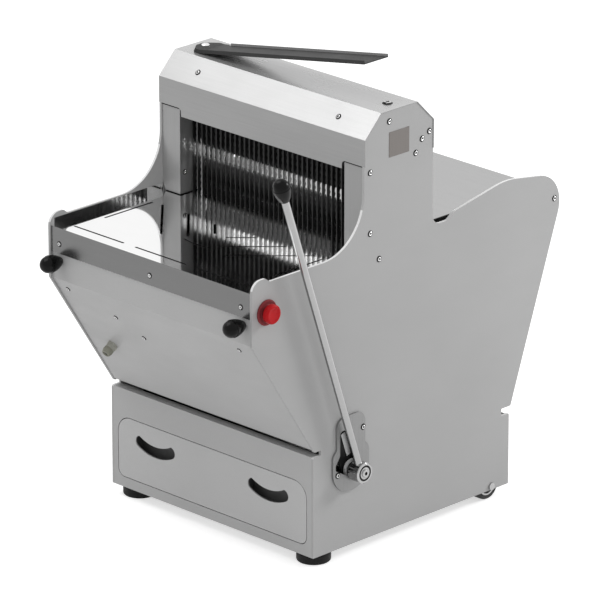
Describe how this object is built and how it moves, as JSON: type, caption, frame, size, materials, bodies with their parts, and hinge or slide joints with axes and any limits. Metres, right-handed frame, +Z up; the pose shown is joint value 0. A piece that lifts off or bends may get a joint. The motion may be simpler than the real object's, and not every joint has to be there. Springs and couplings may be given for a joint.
{
  "type": "electric bread slicer",
  "caption": "Semi-automatic bread slicer: a hand lever pushes the loaf through two reciprocating blade frames onto a polished table over a base with a crumb drawer.",
  "frame": {"origin": "on the floor, under the middle of the whole machine", "axes": "+X to the machine's right, where the lever is; +Y to its back; +Z up"},
  "size_m": [0.549, 0.816, 0.8861],
  "materials": {
    "painted_panels": "light grey satin powder coat",
    "polished_sheet": "mirror-polished stainless steel",
    "zinc_steel": "zinc-plated or ground steel",
    "frame_steel": "dark grey paint",
    "dark_sheet": "dark grey sheet",
    "blade_steel": "ground steel",
    "cast_iron": "cast",
    "motor_paint": "grey paint",
    "belt_rubber": "matt",
    "foot_rubber": "matt black",
    "black_plastic": "gloss black",
    "gland_plastic": "grey",
    "stop_red": "red",
    "stop_collar_red": "dark red"
  },
  "bodies": {
    "housing": {"base_floor": "zinc_steel", "base_front_frame": "painted_panels", "base_rear_panel": "painted_panels", "bearing_stands": "zinc_steel", "cable_gland": "gland_plastic", "cross_members": "zinc_steel", "data_plate": "zinc_steel", "drawer_runners": "zinc_steel", "drive_base_plate": "zinc_steel", "drive_belt": "belt_rubber", "electrical_boxes": "black_plastic", "estop_collar": "stop_collar_red", "frame_guides": "zinc_steel", "front_apron": "painted_panels", "front_feet": "foot_rubber", "guide_rods": "zinc_steel", "handle_guide_tubes": "zinc_steel", "hood_cover": "painted_panels", "input_table": "polished_sheet", "left_post": "painted_panels", "left_side_panel": "painted_panels", "lever_bracket_plate": "dark_sheet", "motor": "motor_paint", "output_table": "polished_sheet", "panel_screws": "zinc_steel", "rear_cover": "painted_panels", "right_post": "painted_panels", "right_side_panel": "painted_panels", "shaft_bushes": "zinc_steel", "sheet_screws": "zinc_steel", "table_comb": "polished_sheet", "table_side_strips": "polished_sheet", "tray_pivot_bolt": "zinc_steel", "wheel_axles": "zinc_steel"},
    "crank": {"crankshaft": "zinc_steel", "crank_pulley": "cast_iron"},
    "motor_rotor": {"motor_pulley": "cast_iron"},
    "frame_a": {"blade_frame_a": "frame_steel", "blades_a": "blade_steel"},
    "frame_b": {"blade_frame_b": "frame_steel", "blades_b": "blade_steel"},
    "lever": {"lever_rod": "zinc_steel", "lever_knob": "black_plastic", "lever_hub": "zinc_steel", "lever_shaft": "zinc_steel", "lever_arms": "zinc_steel"},
    "pusher": {"pusher_comb": "dark_sheet", "pusher_beam": "frame_steel", "pusher_carriages": "zinc_steel"},
    "drawer": {"drawer_front": "painted_panels", "drawer_tray": "polished_sheet", "drawer_grip_cups": "black_plastic"},
    "handle_left": {"handle_rod_left": "zinc_steel", "handle_knob_left": "black_plastic"},
    "handle_right": {"handle_rod_right": "zinc_steel", "handle_knob_right": "black_plastic"},
    "stop_button": {"estop_button": "stop_red"},
    "bag_tray": {"bag_holder_tray": "dark_sheet"},
    "left_wheel": {"wheel_left": "foot_rubber"},
    "right_wheel": {"wheel_right": "foot_rubber"}
  },
  "joints": [
    {"name": "crank_turn", "type": "hinge", "parent": "housing", "child": "crank", "pos_m": [-0.01651, -0.06208, 0.361], "axis": [1, 0, 0], "range_deg": [-90, 90]},
    {"name": "motor_turn", "type": "hinge", "parent": "housing", "child": "motor_rotor", "pos_m": [-0.19151, 0.11099, 0.321], "axis": [1, 0, 0], "range_deg": [-226, 226]},
    {"name": "frame_a_slide", "type": "slide", "parent": "housing", "child": "frame_a", "axis": [0, 0, 1], "range_m": [-0.0121, 0.0121]},
    {"name": "frame_b_slide", "type": "slide", "parent": "housing", "child": "frame_b", "axis": [0, 0, 1], "range_m": [-0.0121, 0.0121]},
    {"name": "lever_swing", "type": "hinge", "parent": "housing", "child": "lever", "pos_m": [-0.01651, -0.12101, 0.1635], "axis": [-1, 0, 0], "range_deg": [0, 51.5]},
    {"name": "pusher_slide", "type": "slide", "parent": "housing", "child": "pusher", "axis": [0, 1, 0], "range_m": [0, 0.3002]},
    {"name": "drawer_slide", "type": "slide", "parent": "housing", "child": "drawer", "axis": [0, -1, 0], "range_m": [0, 0.35]},
    {"name": "left_handle_slide", "type": "slide", "parent": "housing", "child": "handle_left", "axis": [0, -1, 0], "range_m": [0, 0.18]},
    {"name": "right_handle_slide", "type": "slide", "parent": "housing", "child": "handle_right", "axis": [0, -1, 0], "range_m": [0, 0.18]},
    {"name": "stop_button_press", "type": "slide", "parent": "housing", "child": "stop_button", "axis": [-1, 0, 0], "range_m": [0, 0.004]},
    {"name": "bag_tray_swing", "type": "hinge", "parent": "housing", "child": "bag_tray", "pos_m": [-0.24271, -0.00671, 0.808], "axis": [0, 0, 1], "range_deg": [-30, 90]},
    {"name": "left_wheel_turn", "type": "hinge", "parent": "housing", "child": "left_wheel", "pos_m": [-0.24751, 0.23699, 0.028], "axis": [1, 0, 0], "continuous": true},
    {"name": "right_wheel_turn", "type": "hinge", "parent": "housing", "child": "right_wheel", "pos_m": [0.21449, 0.23699, 0.028], "axis": [1, 0, 0], "continuous": true}
  ],
  "couplings": [
    {"joint": "frame_a_slide", "follows": "crank_turn", "m_per_rad": 0.0076394},
    {"joint": "frame_b_slide", "follows": "crank_turn", "m_per_rad": -0.0076394},
    {"joint": "motor_turn", "follows": "crank_turn", "ratio": 2.5},
    {"joint": "pusher_slide", "follows": "lever_swing", "m_per_rad": 0.33376}
  ]
}
